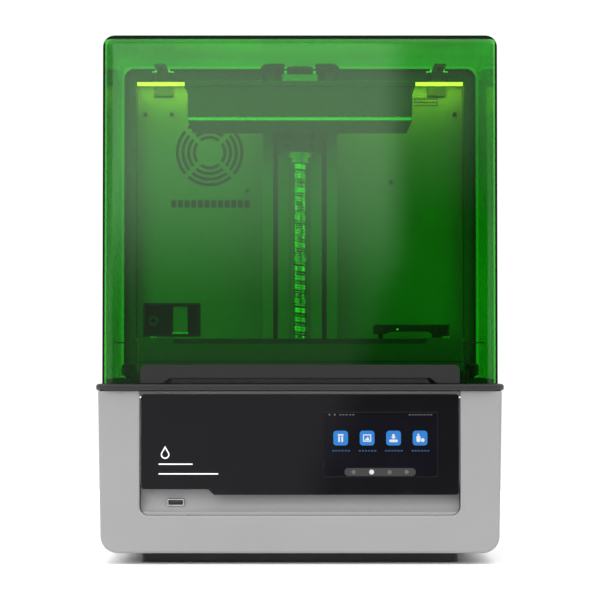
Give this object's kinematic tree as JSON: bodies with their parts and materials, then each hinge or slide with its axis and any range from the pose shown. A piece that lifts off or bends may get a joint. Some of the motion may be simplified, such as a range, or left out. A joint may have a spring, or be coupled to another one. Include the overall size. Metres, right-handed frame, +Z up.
{
  "type": "resin printer",
  "caption": "Desktop resin printer: grey housing with black glass control panel, resin vat, screw-driven build platform and a green transparent flip-up lid.",
  "frame": {"origin": "on the floor under the middle of the printer's bounding box", "axes": "+Z up, -Y towards the front with the control panel, +X to the viewer's right"},
  "size_m": [0.402, 0.35, 0.521],
  "materials": {
    "grey_shell": "light grey moulded shell, fine satin",
    "black_shell": "black moulded or painted, satin",
    "black_glass": "black back-printed cover glass, polished",
    "tinted_lid": "green transparent UV-blocking acrylic, polished",
    "dark_trim": "dark charcoal, fine texture",
    "aluminium": "machined and sandblasted",
    "anodised": "black anodised",
    "steel": "ground and polished",
    "circuit": "green solder-masked board",
    "clear_lens": "clear moulded lens array",
    "screen_glass": "polished display glass",
    "light_strip": "milky light strip"
  },
  "bodies": {
    "base": {"foot_plinth": "black_shell", "base_shell": "grey_shell", "fascia_panel": "grey_shell", "front_glass": "black_glass", "touch_display": "screen_glass", "usb_port": "steel", "rim_frame": "black_shell", "deck_plate": "black_shell", "vat_cradle": "dark_trim", "lcd_panel": "screen_glass", "light_box": "black_shell", "collimator_lens": "clear_lens", "uv_led_board": "circuit", "heat_sink": "aluminium", "led_fan_frame": "black_shell", "mainboard": "circuit", "power_supply": "aluminium", "rear_housing": "black_shell", "chamber_wall": "black_shell", "rear_cover": "dark_trim", "z_column": "anodised", "rail_left": "steel", "rail_right": "steel", "z_motor": "black_shell", "upper_bearing": "anodised", "heater_fan_frame": "black_shell", "base_fan_frame": "black_shell", "led_bar": "light_strip", "feed_dock": "dark_trim", "power_inlet": "black_shell", "hinge_bracket_left": "steel", "hinge_bracket_right": "steel", "hinge_pin_left": "steel", "hinge_pin_right": "steel", "feed_post": "dark_trim"},
    "lid": {"lid_shell": "tinted_lid", "lid_handle": "dark_trim", "hinge_leaf_left": "steel", "hinge_leaf_right": "steel"},
    "carriage": {"carriage_plate": "anodised", "slide_block_left": "steel", "slide_block_right": "steel", "z_nut": "aluminium", "cantilever_arm": "aluminium"},
    "screw": {"z_screw": "steel", "shaft_coupler": "aluminium", "motor_shaft": "steel"},
    "platform": {"build_plate": "aluminium", "platform_body": "aluminium", "platform_handle": "dark_trim"},
    "paddle": {"release_paddle": "dark_trim"},
    "vat": {"vat_body": "dark_trim", "film_frame": "aluminium"},
    "latch_left": {"vat_latch_left": "dark_trim"},
    "latch_right": {"vat_latch_right": "dark_trim"},
    "feed_arm": {"feed_arm": "black_shell"},
    "heater_fan": {"heater_fan_rotor": "black_shell"},
    "led_fan": {"led_fan_rotor": "black_shell"},
    "base_fan": {"base_fan_rotor": "black_shell"},
    "rocker": {"power_rocker": "dark_trim"}
  },
  "joints": [
    {"name": "lid_hinge", "type": "hinge", "parent": "base", "child": "lid", "pos_m": [0, 0.078, 0.51], "axis": [-1, 0, 0], "range_deg": [0, 80]},
    {"name": "z_slide", "type": "slide", "parent": "base", "child": "carriage", "axis": [0, 0, 1], "range_m": [-0.26, 0]},
    {"name": "screw_spin", "type": "hinge", "parent": "base", "child": "screw", "pos_m": [0, 0.048, 0.148], "axis": [0, 0, 1], "continuous": true},
    {"name": "platform_slide", "type": "slide", "parent": "carriage", "child": "platform", "axis": [0, -1, 0], "range_m": [0, 0.045]},
    {"name": "paddle_press", "type": "hinge", "parent": "carriage", "child": "paddle", "pos_m": [0, -0.04, 0.499], "axis": [1, 0, 0], "range_deg": [0, 4], "stiffness_Nm_per_rad": 0.4, "springref_deg": -20.05},
    {"name": "vat_lift", "type": "slide", "parent": "base", "child": "vat", "axis": [0, 0, 1], "range_m": [0, 0.06]},
    {"name": "latch_left_turn", "type": "hinge", "parent": "base", "child": "latch_left", "pos_m": [-0.177, -0.06, 0.184], "axis": [0, 0, -1], "range_deg": [0, 90]},
    {"name": "latch_right_turn", "type": "hinge", "parent": "base", "child": "latch_right", "pos_m": [0.177, -0.06, 0.184], "axis": [0, 0, 1], "range_deg": [0, 90]},
    {"name": "feed_arm_lift", "type": "hinge", "parent": "base", "child": "feed_arm", "pos_m": [0.152, 0.049, 0.233], "axis": [0, 1, 0], "range_deg": [0, 80]},
    {"name": "heater_fan_spin", "type": "hinge", "parent": "base", "child": "heater_fan", "pos_m": [-0.0994, 0.1023, 0.428], "axis": [0, 1, 0], "continuous": true},
    {"name": "led_fan_spin", "type": "hinge", "parent": "base", "child": "led_fan", "pos_m": [0, -0.047, 0.0528], "axis": [0, 0, 1], "continuous": true},
    {"name": "base_fan_spin", "type": "hinge", "parent": "base", "child": "base_fan", "pos_m": [0.1, 0.1577, 0.09], "axis": [0, 1, 0], "continuous": true},
    {"name": "rocker_tilt", "type": "hinge", "parent": "base", "child": "rocker", "pos_m": [-0.11, 0.163, 0.085], "axis": [1, 0, 0], "range_deg": [0, 10]}
  ],
  "couplings": [
    {"joint": "screw_spin", "follows": "z_slide", "rad_per_m": 1256.6}
  ]
}
